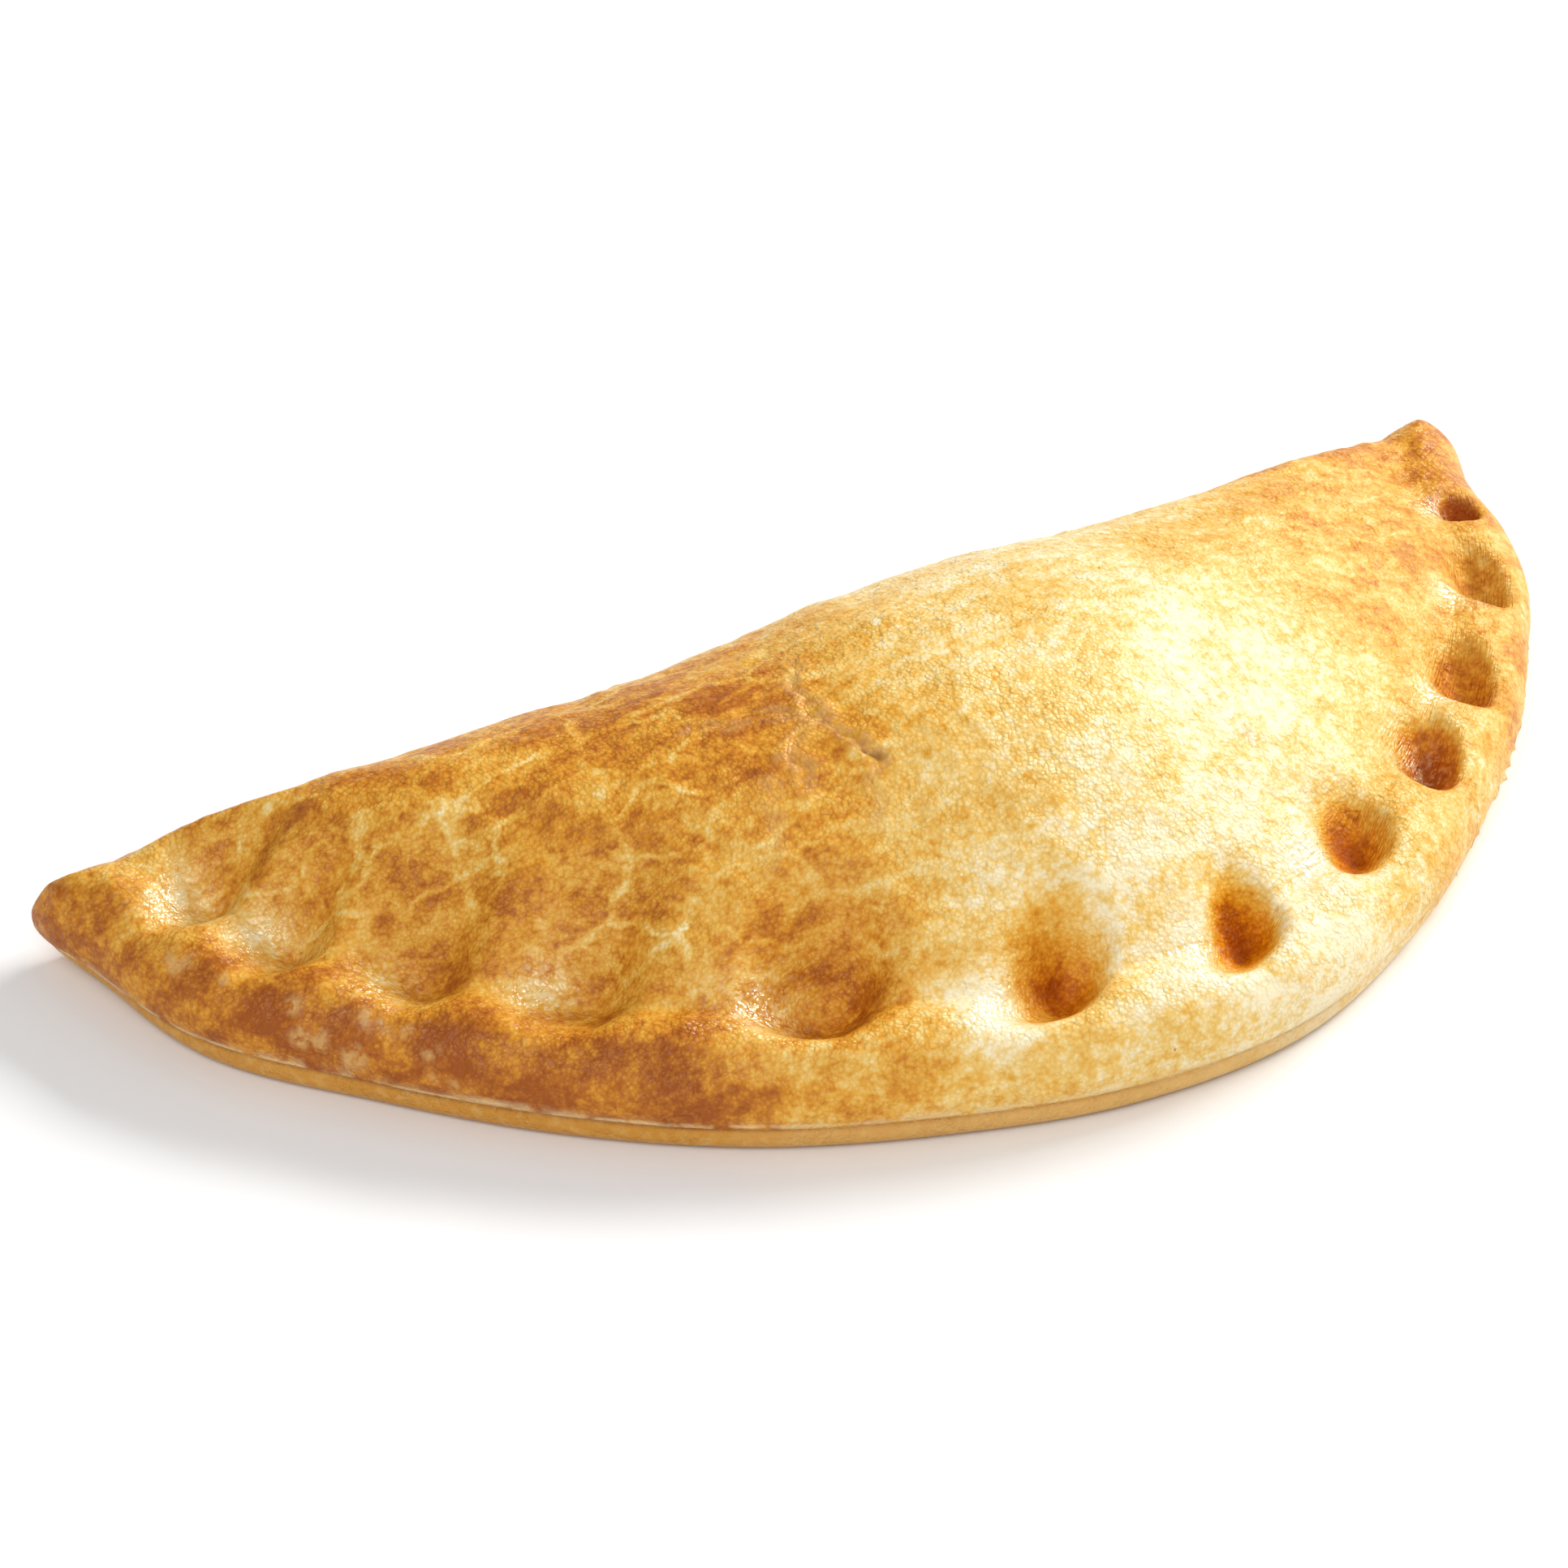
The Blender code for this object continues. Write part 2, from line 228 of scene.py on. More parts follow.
def plan_columns():
    """The outline's points and, for each, the point of the middle line that its column of faces runs to."""
    share = np.linspace(0.0, 1.0, EDGE_COLUMNS)
    share -= TIP_CROWDING * np.sin(2.0 * pi * share) / (2.0 * pi)
    right, left = tip_angle(0.0, RIGHT_CORNER), tip_angle(180.0, LEFT_CORNER)
    angles = right + (left - right) * share
    turn = np.radians(angles)
    outward = np.column_stack((np.cos(turn), -np.sin(turn)))
    radius = edge_radius(angles)
    reach = radius - corner_round(radius * outward[:, 0])
    middle = reach.copy()
    for _ in range(SETTLING_ROUNDS):
        fold = along_fold(FOLD_BOW, middle * outward[:, 0])
        middle[1:-1] = np.minimum((radius + fold) / (1.0 + np.sin(turn)), reach)[1:-1]
    spine = outward * middle[:, None]
    edge = outward * radius[:, None]
    fold = np.column_stack((spine[:, 0], along_fold(FOLD_BOW, spine[:, 0])))[::-1]

    def tip_fan(centre, corner, first, last):
        turns = np.radians(np.linspace(first, last, TIP_COLUMNS + 2)[1:-1])
        return centre + corner * np.column_stack((np.cos(turns), np.sin(turns)))

    left_fan = tip_fan(spine[-1], LEFT_CORNER, 360.0 - left, 90.0)
    right_fan = tip_fan(spine[0], RIGHT_CORNER, 90.0, -right)
    outline = np.vstack((edge, left_fan, fold, right_fan, edge[:1]))
    left_stay = np.repeat(spine[-1:], TIP_COLUMNS, axis=0)
    right_stay = np.repeat(spine[:1], TIP_COLUMNS, axis=0)
    targets = np.vstack((spine, left_stay, spine[::-1], right_stay, spine[:1]))
    on_edge = np.zeros(len(outline))
    on_edge[:EDGE_COLUMNS] = 1.0
    on_edge[-1] = 1.0
    fade = np.linspace(1.0, 0.0, TIP_COLUMNS + 2)[1:-1]
    on_edge[EDGE_COLUMNS : EDGE_COLUMNS + TIP_COLUMNS] = fade
    on_edge[-1 - TIP_COLUMNS : -1] = fade[::-1]
    return outline, targets, on_edge


def dough_surface():
    """Rows of points from the middle of the base out to the foot, then up the wall, the lip and the dome."""
    outline, targets, on_edge = plan_columns()
    length = np.hypot(*(targets - outline).T)
    inward = (targets - outline) / length[:, None]
    reach = np.abs(outline[:, 0])
    near_tip = np.exp(-(((reach.max() - reach) / TIP_CURL_REACH) ** 2))
    rows = []
    for edge_inset, fold_inset, height in WALL:
        curl = TIP_CURL * (1.0 - height / BULGE_HEIGHT) ** 3
        inset = fold_inset + (edge_inset - fold_inset) * on_edge
        foot = outline + inward * inset[:, None]
        foot[:, 0] -= curl * near_tip * np.sign(foot[:, 0])
        rows.append(np.column_stack((foot, np.full(len(foot), height))))
    foot = rows[0]
    middle = np.column_stack((targets * BASE_MIDDLE_SHARE, np.zeros(len(targets))))
    for row in range(1, BASE_ROWS + 1):
        rows.insert(0, foot + (middle - foot) * (row / BASE_ROWS))
    lip = np.minimum(LIP_WIDTH, LIP_SHARE * length)
    depths = [lip * (1.0 - cos(0.5 * pi * row / LIP_ROWS)) for row in range(1, LIP_ROWS + 1)]
    for row in range(1, DOME_ROWS + 1):
        depths.append(lip + (length - lip) * (row / DOME_ROWS) ** DOME_SPREAD)
    for depth in depths:
        plan = outline + inward * depth[:, None]
        rows.append(np.column_stack((plan, top_height(plan[:, 0], plan[:, 1]))))
    return np.array(rows)


surface = dough_surface()
row_count, column_count = surface.shape[:2]
dough = bmesh.new()
bmesh.ops.create_grid(dough, x_segments=column_count - 1, y_segments=row_count - 1, size=0.5)
for vertex in dough.verts:
    column = round((vertex.co.x + 0.5) * (column_count - 1))
    row = round((vertex.co.y + 0.5) * (row_count - 1))
    vertex.co = surface[row, column]
bmesh.ops.remove_doubles(dough, verts=dough.verts, dist=0.01)
bmesh.ops.recalc_face_normals(dough, faces=dough.faces)
crust_mesh = bpy.data.meshes.new("crust")
dough.to_mesh(crust_mesh)
dough.free()
crust_mesh.shade_smooth()

points = np.empty(len(crust_mesh.vertices) * 3)
crust_mesh.vertices.foreach_get("co", points)
points = points.reshape(-1, 3)
normals = np.empty(len(crust_mesh.vertices) * 3)
crust_mesh.vertices.foreach_get("normal", normals)
normals = normals.reshape(-1, 3)
x, y, z = points.T.copy()
round_angle = plan_angle(x, y)
inset = edge_radius(round_angle) - np.hypot(x, y)
unpressed = dome_height(x, y)


def ramp(value, low, high):
    share = np.clip((value - low) / (high - low), 0.0, 1.0)
    return share * share * (3.0 - 2.0 * share)


def lumps(size, octaves, seed):
    """Soft noise at every vertex, about -1 to 1, whose lumps are as wide as the size."""
    shift = Vector((3.1, 1.7, 2.3)) * seed
    return np.array([noise.fractal(Vector(point) / size + shift, 1.0, 2.0, octaves) for point in points])


def off_path(path, x, y):
    """How far every vertex lies, in plan, from a broken line."""
    nearest = np.full(len(x), np.inf)
    for (start_x, start_y), (end_x, end_y) in zip(path, path[1:]):
        run, rise = end_x - start_x, end_y - start_y
        share = np.clip(((x - start_x) * run + (y - start_y) * rise) / (run**2 + rise**2), 0.0, 1.0)
        nearest = np.minimum(nearest, np.hypot(x - start_x - share * run, y - start_y - share * rise))
    return nearest


def round_spot(spot_place, radius):
    return np.exp(-((points - np.array(spot_place)) ** 2).sum(axis=1) / radius**2)


upper_skin = ramp(z, 2.7, 4.2)
sealed_side = ramp(along_fold(FOLD_BOW, x) - y - inset, -2.0, 2.0)
sag = 0.25 * lumps(7.0, 3, 10)
lower_layer = (1.0 - ramp(z - sag, 2.3, 2.6)) * sealed_side * (1.0 - 0.9 * ramp(x, 0.0, 32.0))
press_depth = np.clip((unpressed - pressed(unpressed, x, y) - 0.4) / 3.6, 0.0, 1.0) * upper_skin
press_depth *= np.exp(-(np.maximum(3.2 - inset, 0.0) ** 2))

# On the left wall of each press the egg wash dried thick and glossy, and where the key light glints there the
# colour is painted paler as a painted highlight: place, radius, how much paler it is painted.
# The places here and in the lists below were read off the reference picture through the camera.
GLOSS_AND_HIGHLIGHT_SPOTS = (
    (61.7, -12.5, 9.3, 2.0, 0.0),
    (55.7, -24.9, 9.5, 2.2, 0.2),
    (46.3, -36.4, 9.4, 2.2, 0.3),
    (39.3, -42.1, 8.0, 2.6, 0.4),
    (22.5, -51.7, 10.2, 3.0, 0.5),
    (8.8, -57.0, 9.3, 3.0, 0.5),
    (-10.1, -54.8, 9.2, 3.4, 1.3),
    (-26.3, -45.8, 9.2, 3.4, 1.0),
    (-40.5, -34.2, 8.2, 2.6, 0.7),
    (-51.2, -26.9, 8.1, 2.6, 0.9),
    (-56.9, -15.8, 7.7, 2.8, 1.0),
    (-60.9, -7.9, 7.8, 3.2, 1.1),
)
gloss_and_glint = np.zeros(len(points))
painted_highlight = np.zeros(len(points))
for *spot_place, radius, pale in GLOSS_AND_HIGHLIGHT_SPOTS:
    gloss_and_glint += round_spot(spot_place, radius)
    painted_highlight += pale * round_spot(spot_place, 1.15 * radius)

# How much darker and deeper orange each press is painted, from the right tip to the left one, partly browned
# glaze and partly painted shade in the hollow: at its deepest point, and over its floor.
PRESS_BROWN_AND_SHADE = (
    (0.7, 0.9), (0.0, 0.12), (0.2, 0.40), (1.15, 0.9), (0.95, 0.4), (1.35, 0.55),
    (0.8, 0.35), (0.05, 0.2), (0.05, 0.05), (0.0, 0.05), (0.0, 0.05), (0.0, 0.05),
)
SEAT_SHIFT = 1.0
EYE_RADIUS = 2.1
FLOOR_SPREAD = 6.0
press_brown_and_shade = np.zeros(len(points))
for (angle, seat_inset, *_), (eye, over_floor) in zip(THUMB_PRESSES, PRESS_BROWN_AND_SHADE):
    turn = radians(angle)
    seat = edge_radius(np.array(angle)) - seat_inset - SEAT_SHIFT
    from_seat = np.hypot(x - seat * cos(turn), y + seat * sin(turn))
    press_brown_and_shade += eye * np.exp(-((from_seat / EYE_RADIUS) ** 2)) * ramp(press_depth, 0.05, 0.6)
    press_brown_and_shade += over_floor * np.exp(-((from_seat / FLOOR_SPREAD) ** 4)) * ramp(press_depth, 0.0, 0.35)
press_brown_and_shade *= 1.0 - 0.8 * np.clip(gloss_and_glint, 0.0, 1.0)

tip_calm = ramp(71.0 - np.abs(x), 0.0, 7.0)
smooth_press = 1.0 - np.clip(0.5 * press_depth + 0.7 * gloss_and_glint, 0.0, 0.8)
relief = 0.30 * lumps(12.0, 2, 1) + (0.12 * lumps(4.2, 2, 2) + 0.08 * lumps(1.7, 2, 3)) * smooth_press
relief *= upper_skin * tip_calm

# Blisters: small round bubbles in the skin, thickest at the brown end and along its rim.
BLISTERS = 260
chance = np.random.default_rng(12)
seats = chance.choice(np.flatnonzero((z > 4.5) & (normals[:, 2] > 0.15)), BLISTERS, replace=False)
for seat in seats:
    keep = chance.random() < 0.35 + 0.65 * ramp(-x[seat], -10.0, 30.0)
    radius = chance.uniform(0.5, 1.3)
    relief += chance.uniform(0.05, 0.2) * keep * round_spot(points[seat], radius) * upper_skin * tip_calm

# Cracks where the swelling filling stretched the crust: depth, half-width, raised lip, course in plan.
CRACKS = (
    (0.18, 0.30, 0.16, (
        (-9.2, -20.4), (-10.4, -23.4), (-10.8, -25.5), (-11.3, -28.0), (-10.5, -30.0), (-10.3, -31.9),
        (-9.3, -34.4), (-9.0, -35.4), (-10.0, -36.6), (-10.6, -38.0), (-11.6, -39.2),
    )),
    (0.16, 0.30, 0.10, (
        (-11.3, -28.0), (-13.1, -26.6), (-14.5, -25.8), (-16.0, -25.4), (-17.7, -24.7), (-20.4, -23.6),
    )),
    (0.16, 0.35, 0.12, (
        (-11.7, -28.6), (-13.1, -29.4), (-14.2, -30.0), (-15.2, -31.2), (-14.6, -32.6), (-15.3, -33.8),
    )),
    (0.16, 0.30, 0.10, ((-17.6, -32.2), (-19.0, -33.8), (-18.9, -35.0), (-19.6, -36.3), (-20.5, -38.5))),
    (0.14, 0.30, 0.08, ((22.5, -35.8), (22.3, -37.5), (22.0, -39.4))),
    (0.35, 1.10, 0.05, ((22.0, -42.6), (22.8, -44.6), (23.8, -46.0), (25.6, -46.8))),
)
wavy_x = x + 0.9 * lumps(2.4, 3, 5)
wavy_y = y + 0.9 * lumps(2.4, 3, 6)
gaping = ramp(lumps(3.0, 2, 7), -0.5, 0.2)
flaky = np.zeros(len(points))
for depth, half_width, lip, course in CRACKS:
    gap = off_path(course, wavy_x, wavy_y) / half_width
    relief += (lip * np.exp(-(((gap - 2.4) / 1.3) ** 2)) - depth * np.exp(-(gap**2))) * gaping
    flaky = np.maximum(flaky, np.exp(-(((gap - 1.4) / 1.6) ** 2)) * min(1.0, lip / 0.2))

# The skin tore open at the lower end of the first crack.
TEAR = ((-9.7, -34.3), (-8.8, -35.3))
TEAR_HALF_WIDTH = 0.32
TEAR_DEPTH = 0.45
torn = np.exp(-((off_path(TEAR, wavy_x, wavy_y) / TEAR_HALF_WIDTH) ** 2))
relief -= TEAR_DEPTH * torn

# Dry flour and burst bubbles left pale on the rim: place and radius.
PALE_SPOTS = (
    (-64.3, -15.3, 8.4, 1.1),
    (-63.2, -16.2, 9.0, 0.6),
    (-61.9, -19.6, 8.6, 0.6),
    (-58.3, -25.2, 8.2, 0.8),
    (-58.6, -26.8, 6.1, 1.0),
    (-57.4, -28.1, 6.0, 0.9),
    (-55.6, -30.3, 5.1, 1.2),
    (-54.1, -29.7, 8.3, 0.7),
    (-53.2, -30.9, 8.2, 0.7),
    (-51.8, -32.5, 8.1, 0.5),
    (-50.2, -35.0, 7.5, 0.4),
    (-51.0, -34.8, 6.7, 0.4),
    (-51.3, -35.2, 5.8, 0.4),
    (-51.0, -35.6, 5.0, 0.45),
    (-49.8, -36.8, 4.8, 0.45),
    (-48.8, -37.9, 4.7, 0.4),
    (-44.4, -39.6, 8.5, 0.6),
)
ragged = lumps(0.9, 3, 8)
pale_spot = np.zeros(len(points))
for *spot_place, radius in PALE_SPOTS:
    pale_spot = np.maximum(pale_spot, ramp(round_spot(spot_place, radius) + 0.3 * ragged, 0.2, 0.7))
relief += 0.12 * pale_spot * upper_skin

# The skin's lower edge curls out over the seam as a thin dry lip, torn to flakes at the right.
seam_line = np.exp(-(((z - sag - 2.9) / 0.3) ** 2)) * sealed_side
right_seam = ramp(-round_angle, -85.0, -60.0)
relief += seam_line * tip_calm * (0.10 + 0.30 * right_seam * np.maximum(lumps(1.6, 2, 9), 0.0) / 0.4)

points += normals * relief[:, None]
points[:, 2] = np.maximum(points[:, 2], 0.0)

lowest, highest = points.min(axis=0), points.max(axis=0)
box_low, box_high = np.array(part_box("empanada"))
fitted = box_low + (points - lowest) / (highest - lowest) * (box_high - box_low)
crust_mesh.vertices.foreach_set("co", fitted.ravel())

# Browning: caramel at the left end, pale cream on the right of the dome, golden again at the right tip.
BAKE_ALONG = (0.46, 0.55, 0.60, 0.60, 0.56, 0.43, 0.26, 0.18, 0.18, 0.33, 0.45, 0.54, 0.61)
RIM_BAKE = 0.25
# Patches that baked darker or stayed paler: place, radius, amount. The amounts were tuned.
BAKE_PATCHES = (
    (-16.0, -21.0, 21.5, 6.5, 0.34),
    (-17.0, -31.0, 20.4, 5.0, 0.21),
    (-12.5, -31.0, 22.0, 3.0, 0.10),
    (-7.5, -34.5, 22.0, 2.6, 0.16),
    (-7.0, -15.0, 21.0, 5.0, 0.12),
    (-39.0, -30.0, 13.6, 7.0, 0.06),
    (-27.0, -58.0, 5.0, 6.0, -0.12),
    (-60.0, -23.8, 7.8, 2.0, 0.16),
    (-49.9, -35.8, 7.1, 2.2, 0.16),
    (-48.2, -34.1, 9.4, 2.0, 0.10),
    (-31.9, -50.7, 7.0, 4.5, 0.08),
    (-23.0, -55.0, 7.0, 5.0, -0.02),
    (-10.7, -59.6, 7.2, 6.5, -0.20),
    (15.4, -61.5, 7.6, 9.0, -0.14),
    (46.0, -45.0, 6.0, 8.0, -0.04),
    (64.0, -22.0, 7.7, 7.0, -0.13),
    (2.5, -50.4, 15.0, 7.0, -0.11),
    (29.0, -37.0, 17.0, 11.0, -0.14),
    (30.0, -20.0, 20.0, 4.5, 0.12),
    (12.0, -28.0, 24.2, 8.0, 0.05),
    (14.7, -17.9, 22.5, 1.1, 0.16),
    (-48.2, -14.2, 14.6, 4.5, 0.14),
    (-9.7, -45.0, 16.2, 5.0, -0.06),
)
wander = 5.0 * lumps(15.0, 2, 4)
bake = along_fold(BAKE_ALONG, x + wander)
bake += RIM_BAKE * np.exp(-((inset / 5.0) ** 2)) * ramp(-x, 26.0, 36.0) * np.clip(1.0 - painted_highlight, 0.0, 1.0)
for *patch_place, radius, amount in BAKE_PATCHES:
    bake += amount * round_spot(patch_place, radius)

EDGE_MEAN_RADIUS = 65.0
near_press = np.exp(-np.maximum(press_bowls(x, y).min(axis=0) - 9.0, 0.0) / 2.5)

for name, values in (
    ("bake", bake),
    ("press_brown_and_shade", press_brown_and_shade),
    ("painted_highlight", painted_highlight),
    ("torn", torn),
    ("flaky", np.maximum(flaky, 0.9 * pale_spot)),
    ("gloss_and_glint", np.clip(gloss_and_glint, 0.0, 1.0)),
    ("lower", lower_layer),
    ("seam", np.exp(-(((z - sag - 3.15) / 0.25) ** 2)) * sealed_side * (0.3 + 0.7 * ramp(-x, -10.0, 5.0))),
    ("near", near_press * ramp(x, -40.0, -20.0)),
    ("streaky", near_press * ramp(x, 5.0, 20.0) * (1.0 - 0.7 * np.clip(press_brown_and_shade, 0.0, 1.0))),
    ("inset", inset),
    ("round", np.radians(round_angle) * EDGE_MEAN_RADIUS),
):
    crust_mesh.attributes.new(name, "FLOAT", "POINT").data.foreach_set("value", values.astype(np.float32))

crust_mesh.update()
crust = bpy.data.objects.new("crust", crust_mesh)
bpy.context.scene.collection.objects.link(crust)

material = bpy.data.materials.new("baked crust")
material.use_nodes = True
tree = material.node_tree
shader = tree.nodes["Principled BSDF"]
place = tree.nodes.new("ShaderNodeTexCoord").outputs["Object"]


def connect(value, socket):
    if isinstance(value, bpy.types.NodeSocket):
        tree.links.new(value, socket)
    else:
        socket.default_value = value


def stored(name):
    node = tree.nodes.new("ShaderNodeAttribute")
    node.attribute_name = name
    return node.outputs["Fac"]


def calc(operation, *values):
    node = tree.nodes.new("ShaderNodeMath")
    node.operation = operation
    for value, socket in zip(values, node.inputs):
        connect(value, socket)
    return node.outputs[0]


def blend(factor, first, second, mode="MIX"):
    node = tree.nodes.new("ShaderNodeMix")
    node.data_type = "RGBA"
    node.blend_type = mode
    connect(factor, node.inputs[0])
    connect(first, node.inputs[6])
    connect(second, node.inputs[7])
    return node.outputs[2]


def soft_step(value, low, high):
    node = tree.nodes.new("ShaderNodeMapRange")
    node.interpolation_type = "SMOOTHSTEP"
    connect(value, node.inputs[0])
    node.inputs[1].default_value = low
    node.inputs[2].default_value = high
    return node.outputs[0]


def cloud(size, detail=3.0, where=place):
    """Noise from -0.5 to 0.5 whose lumps are as wide as the size in millimetres."""
    node = tree.nodes.new("ShaderNodeTexNoise")
    connect(where, node.inputs["Vector"])
    node.inputs["Scale"].default_value = 1.0 / (size * MM)
    node.inputs["Detail"].default_value = detail
    return calc("SUBTRACT", node.outputs["Factor" if "Factor" in node.outputs else "Fac"], 0.5)


def cells(size, feature, where):
    node = tree.nodes.new("ShaderNodeTexVoronoi")
    node.feature = feature
    connect(where, node.inputs["Vector"])
    node.inputs["Scale"].default_value = 1.0 / (size * MM)
    return node.outputs["Distance"]


def warped(size, amount):
    """The place on the crust, pushed about by noise, for lines and spots that must not look drawn."""
    push = tree.nodes.new("ShaderNodeTexNoise")
    push.inputs["Scale"].default_value = 1.0 / (size * MM)
    push.inputs["Detail"].default_value = 3.0
    tree.links.new(place, push.inputs["Vector"])
    centred = tree.nodes.new("ShaderNodeVectorMath")
    centred.operation = "SUBTRACT"
    tree.links.new(push.outputs["Color"], centred.inputs[0])
    centred.inputs[1].default_value = (0.5, 0.5, 0.5)
    moved = tree.nodes.new("ShaderNodeVectorMath")
    moved.operation = "MULTIPLY_ADD"
    tree.links.new(centred.outputs[0], moved.inputs[0])
    moved.inputs[1].default_value = (amount * MM, amount * MM, amount * MM)
    tree.links.new(place, moved.inputs[2])
    return moved.outputs[0]


def stretched(where, share):
    """A place whose patterns come out longer along the fold."""
    node = tree.nodes.new("ShaderNodeVectorMath")
    node.operation = "MULTIPLY"
    tree.links.new(where, node.inputs[0])
    node.inputs[1].default_value = (share, 1.0, 1.0)
    return node.outputs[0]


browned = soft_step(stored("bake"), 0.3, 0.6)
wavy = warped(3.0, 3.0)
wide = cloud(3.6, 5.0, stretched(place, 0.55))
middling = cloud(0.95, 6.0)
grain = cells(0.38, "F1", warped(0.7, 0.5))
rough = soft_step(cloud(5.0, 2.0), -0.15, 0.10)
crack_edge = cells(5.5, "DISTANCE_TO_EDGE", stretched(wavy, 0.55))
patchy = soft_step(cloud(4.0, 3.0), -0.12, 0.06)
crack = calc("MULTIPLY", calc("SUBTRACT", 1.0, soft_step(crack_edge, 0.0, 0.09)), patchy)
crack = calc("MULTIPLY", crack, calc("MULTIPLY", browned, soft_step(stored("inset"), 8.0, 12.0)))
crack = calc("MULTIPLY", crack, calc("ADD", 0.4, soft_step(middling, -0.10, 0.08)))
spot = calc("SUBTRACT", 1.0, soft_step(cells(2.6, "F1", wavy), 0.18, 0.34))
spot = calc("MULTIPLY", spot, soft_step(cloud(7.0, 2.0), 0.04, 0.14))

blotch = calc("SUBTRACT", soft_step(wide, -0.12, 0.14), 0.5)
mottle = calc("ADD", 0.16, calc("MULTIPLY", browned, 0.10))
level = calc("ADD", stored("bake"), calc("MULTIPLY", blotch, mottle))
level = calc("ADD", level, calc("MULTIPLY", middling, 0.72))
level = calc("ADD", level, calc("MULTIPLY", calc("SUBTRACT", grain, 0.5), 0.25))
level = calc("ADD", level, calc("MULTIPLY", stored("near"), 0.10))
# Darker in the presses: partly browned glaze, partly painted shade in the hollows.
level = calc("ADD", level, calc("MULTIPLY", stored("press_brown_and_shade"), 0.5))
# Paler on the lit left wall of each press: painted highlight.
level = calc("SUBTRACT", level, calc("MULTIPLY", stored("painted_highlight"), 0.32))
level = calc("SUBTRACT", level, calc("MULTIPLY", crack, 0.28))
level = calc("SUBTRACT", level, calc("MULTIPLY", spot, 0.14))

scale = tree.nodes.new("ShaderNodeValToRGB")
stops = scale.color_ramp.elements
for position, colour in (
    (0.0, (0.95, 0.83, 0.55)),
    (0.25, (0.87, 0.59, 0.18)),
    (0.45, (0.79, 0.41, 0.055)),
    (0.62, (0.67, 0.27, 0.02)),
    (0.8, (0.48, 0.15, 0.011)),
    (1.0, (0.35, 0.085, 0.007)),
):
    stop = stops[0] if position == 0.0 else stops[-1] if position == 1.0 else stops.new(position)
    stop.color = (*colour, 1.0)
tree.links.new(level, scale.inputs[0])
skin = scale.outputs["Color"]
# Deeper orange in the presses: partly browned glaze, partly painted warm shade in the hollows.
skin = blend(stored("press_brown_and_shade"), skin, blend(1.0, skin, (1.0, 0.78, 0.12, 1.0), "MULTIPLY"))
under = blend(stored("bake"), (0.80, 0.50, 0.17, 1.0), (0.58, 0.235, 0.012, 1.0))
under = blend(soft_step(cloud(1.0, 3.0), -0.1, 0.25), under, blend(0.3, under, (0.82, 0.56, 0.19, 1.0)))
skin = blend(stored("lower"), skin, under)
seam_fleck = calc("MULTIPLY", stored("seam"), soft_step(cloud(2.5, 3.0), -0.12, 0.06))
skin = blend(seam_fleck, skin, (0.84, 0.60, 0.30, 1.0))
flake = calc("MULTIPLY", stored("flaky"), soft_step(middling, -0.12, 0.04))
skin = blend(calc("MULTIPLY", flake, 0.7), skin, (0.78, 0.48, 0.17, 1.0))
# The tear is painted dark: painted shade inside the opening.
skin = blend(calc("MULTIPLY", stored("torn"), 0.75), skin, (0.25, 0.09, 0.02, 1.0))
# Pale flecks painted into the colour where the coat is glossy: painted highlight, standing in for part of the
# glints.
painted_glint = calc("MULTIPLY", stored("gloss_and_glint"), soft_step(cloud(0.6, 3.0), 0.0, 0.10))
skin = blend(calc("MULTIPLY", painted_glint, 0.5), skin, (0.98, 0.82, 0.48, 1.0))
pore = calc("SUBTRACT", 1.0, soft_step(cells(5.0, "F1", place), 0.015, 0.035))
skin = blend(calc("MULTIPLY", pore, 0.7), skin, (0.30, 0.13, 0.03, 1.0))
connect(skin, shader.inputs["Base Color"])

streak_place = tree.nodes.new("ShaderNodeCombineXYZ")
connect(calc("DIVIDE", stored("round"), 2.4), streak_place.inputs[0])
connect(calc("DIVIDE", stored("inset"), 0.16), streak_place.inputs[1])
streaks = tree.nodes.new("ShaderNodeTexNoise")
tree.links.new(streak_place.outputs[0], streaks.inputs["Vector"])
streaks.inputs["Scale"].default_value = 1.0
streaks.inputs["Detail"].default_value = 2.0
height = calc("MULTIPLY", cloud(1.4, 5.0), 0.36)
bumpy = calc("ADD", 0.07, calc("MULTIPLY", rough, 0.07))
height = calc("SUBTRACT", height, calc("MULTIPLY", grain, bumpy))
height = calc("MULTIPLY", height, calc("SUBTRACT", 1.0, calc("MULTIPLY", stored("gloss_and_glint"), 0.7)))
striped = calc("MULTIPLY", streaks.outputs[0], stored("streaky"))
height = calc("ADD", height, calc("MULTIPLY", striped, 0.35))
rippled = calc("MULTIPLY", cloud(0.55, 1.0), stored("gloss_and_glint"))
height = calc("ADD", height, calc("MULTIPLY", rippled, 0.28))
bump = tree.nodes.new("ShaderNodeBump")
bump.inputs["Distance"].default_value = MM
connect(height, bump.inputs["Height"])
connect(bump.outputs[0], shader.inputs["Normal"])
connect(bump.outputs[0], shader.inputs["Coat Normal"])
connect(calc("ADD", 0.45, calc("MULTIPLY", middling, 0.3)), shader.inputs["Roughness"])
shader.inputs["Specular IOR Level"].default_value = 0.08
dull = calc("MULTIPLY", stored("press_brown_and_shade"), 0.25)
gloss = calc("SUBTRACT", calc("ADD", 0.3, calc("MULTIPLY", stored("gloss_and_glint"), 0.7)), dull)
connect(calc("MAXIMUM", gloss, 0.0), shader.inputs["Coat Weight"])
connect(calc("SUBTRACT", 0.2, calc("MULTIPLY", stored("gloss_and_glint"), 0.09)), shader.inputs["Coat Roughness"])
connect(calc("ADD", 1.55, calc("MULTIPLY", stored("gloss_and_glint"), 0.45)), shader.inputs["Coat IOR"])
crust_mesh.materials.append(material)
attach(crust, "root")
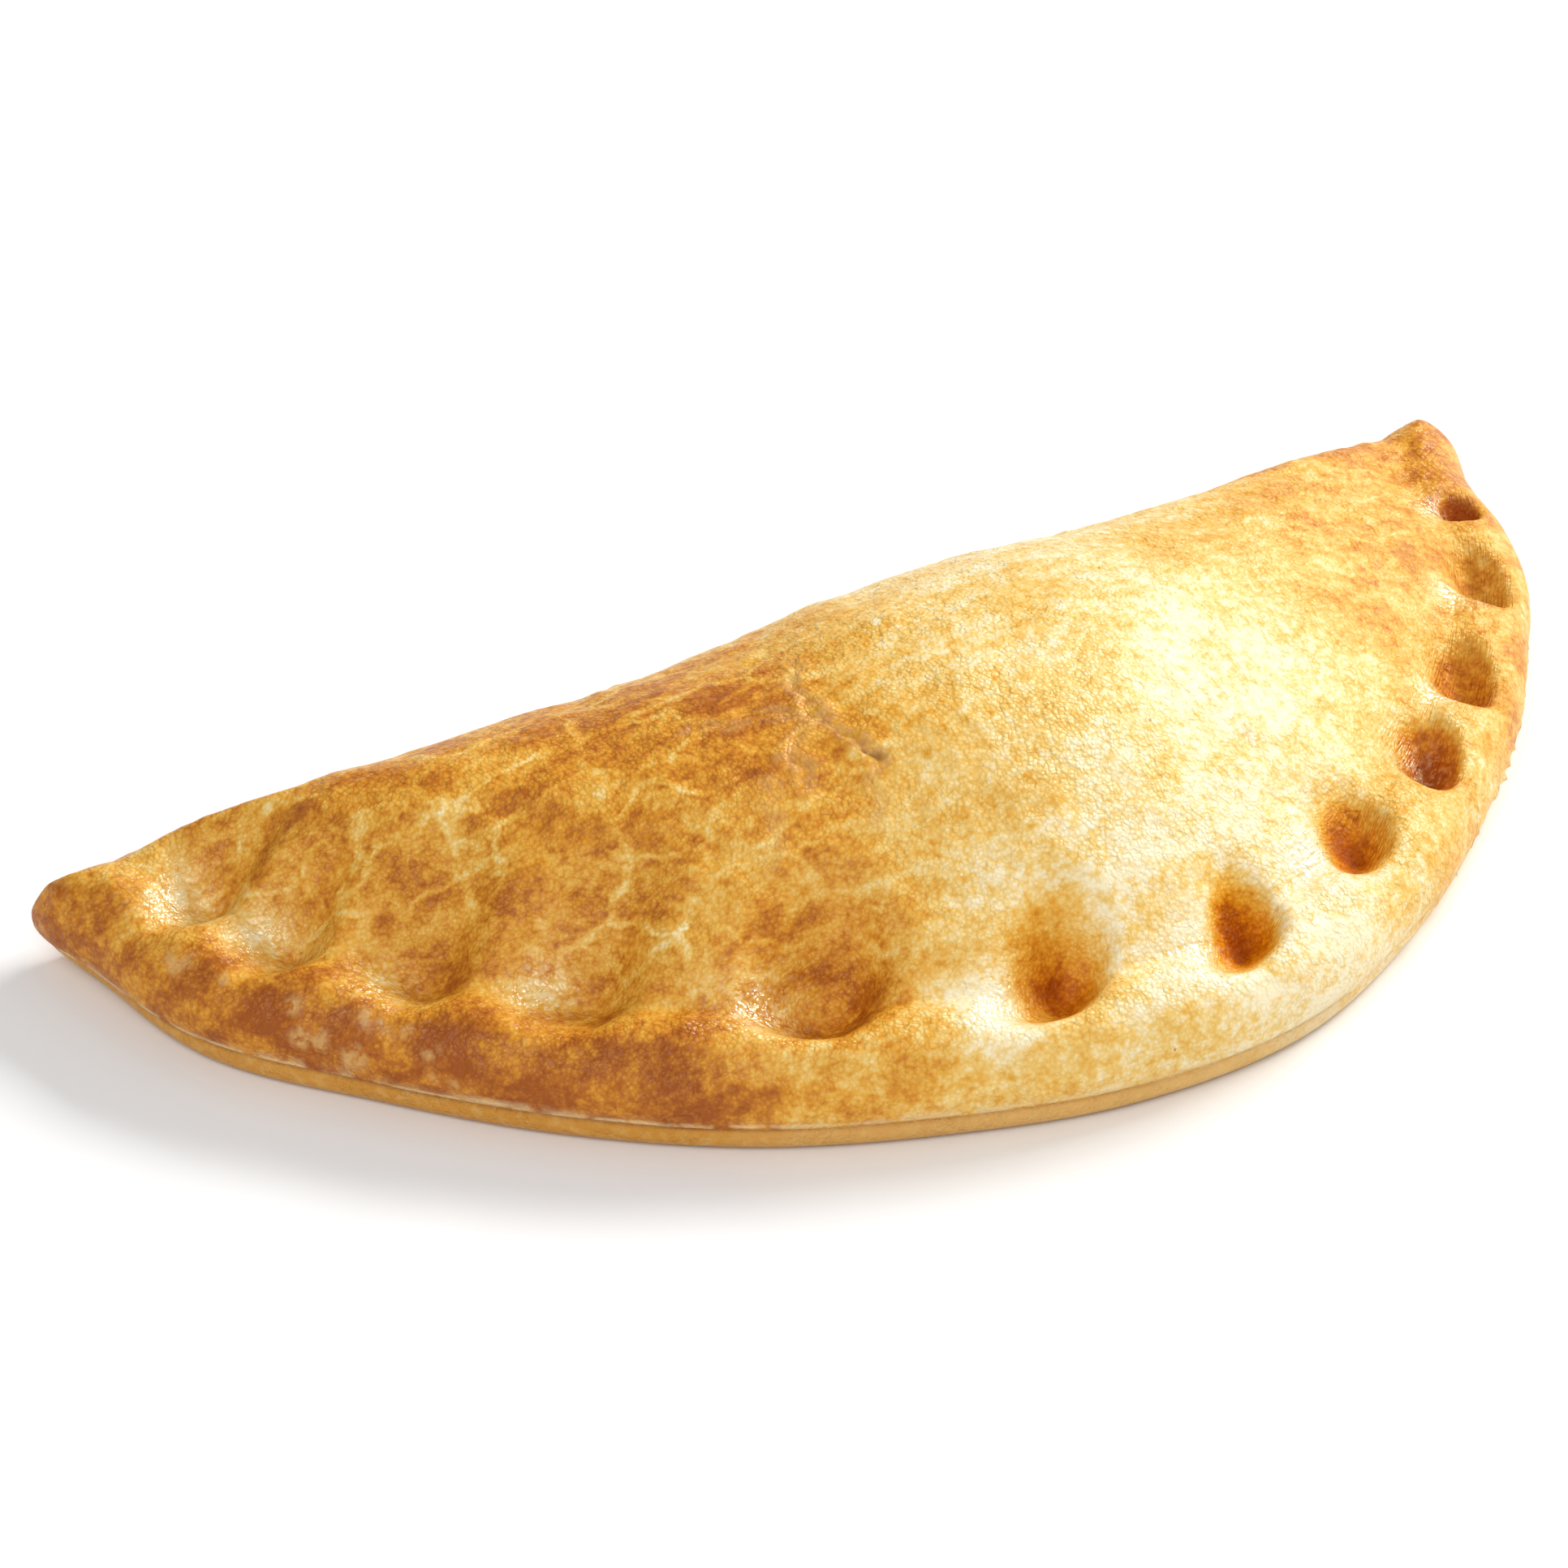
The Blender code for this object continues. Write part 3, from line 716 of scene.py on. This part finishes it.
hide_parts("empanada")


# The studio. A pale matt table top under a soft sky, a soft key light low on the right that rakes the
# presses, and a long lens looking down on the pressed edge from the left.

def softbox(name, place, size, power, colour=(1.0, 1.0, 1.0)):
    light = bpy.data.lights.new(name, "AREA")
    light.shape = "RECTANGLE"
    light.size = size[0]
    light.size_y = size[1]
    light.energy = power
    light.color = colour
    lamp = bpy.data.objects.new(name, light)
    lamp.location = place
    lamp.rotation_euler = (-Vector(place)).to_track_quat("-Z", "Y").to_euler()
    bpy.context.scene.collection.objects.link(lamp)


softbox("key", (0.62, 0.15, 0.42), (0.50, 0.18), 6.1, (1.0, 0.98, 0.95))
softbox("main", (0.42, -0.22, 0.72), (0.7, 0.7), 0.7, (1.0, 0.99, 0.97))
softbox("left", (-0.45, -0.45, 0.65), (0.8, 0.5), 4.25)

sky = bpy.data.worlds.new("sky")
sky.use_nodes = True
sky.node_tree.nodes["Background"].inputs["Color"].default_value = (1.0, 1.0, 1.0, 1.0)
sky.node_tree.nodes["Background"].inputs["Strength"].default_value = 0.32
bpy.context.scene.world = sky

FLOOR_HALF = 3.0
FLOOR_DROP = 0.0002
table = bmesh.new()
bmesh.ops.create_grid(table, x_segments=1, y_segments=1, size=FLOOR_HALF)
bmesh.ops.translate(table, verts=table.verts, vec=(0.0, 0.0, -FLOOR_DROP))
table_mesh = bpy.data.meshes.new("table top")
table.to_mesh(table_mesh)
table.free()
table_top = bpy.data.objects.new("table_top", table_mesh)
bpy.context.scene.collection.objects.link(table_top)
paint = bpy.data.materials.new("pale paint")
paint.use_nodes = True
paint.node_tree.nodes["Principled BSDF"].inputs["Base Color"].default_value = (0.94, 0.94, 0.94, 1.0)
paint.node_tree.nodes["Principled BSDF"].inputs["Roughness"].default_value = 0.9
table_mesh.materials.append(paint)

CAMERA_PLACE = (-0.2421, -0.3952, 0.3484)
CAMERA_TURN = radians(-29.75)
CAMERA_TILT = radians(36.0)
FRAME_PIXELS = 1932
FOCAL_PIXELS = 8400
SENSOR_WIDTH = 36.0
back = Vector((sin(CAMERA_TURN) * cos(CAMERA_TILT), -cos(CAMERA_TURN) * cos(CAMERA_TILT), sin(CAMERA_TILT)))
right = Vector((cos(CAMERA_TURN), sin(CAMERA_TURN), 0.0))
lens = bpy.data.cameras.new("long lens")
lens.sensor_width = SENSOR_WIDTH
lens.lens = FOCAL_PIXELS / FRAME_PIXELS * SENSOR_WIDTH
lens.clip_start = 0.01
camera = bpy.data.objects.new("camera", lens)
facing = Matrix((right, back.cross(right), back)).transposed()
camera.matrix_world = Matrix.Translation(CAMERA_PLACE) @ facing.to_4x4()
bpy.context.scene.collection.objects.link(camera)
bpy.context.scene.camera = camera
bpy.context.scene.view_settings.view_transform = "Standard"
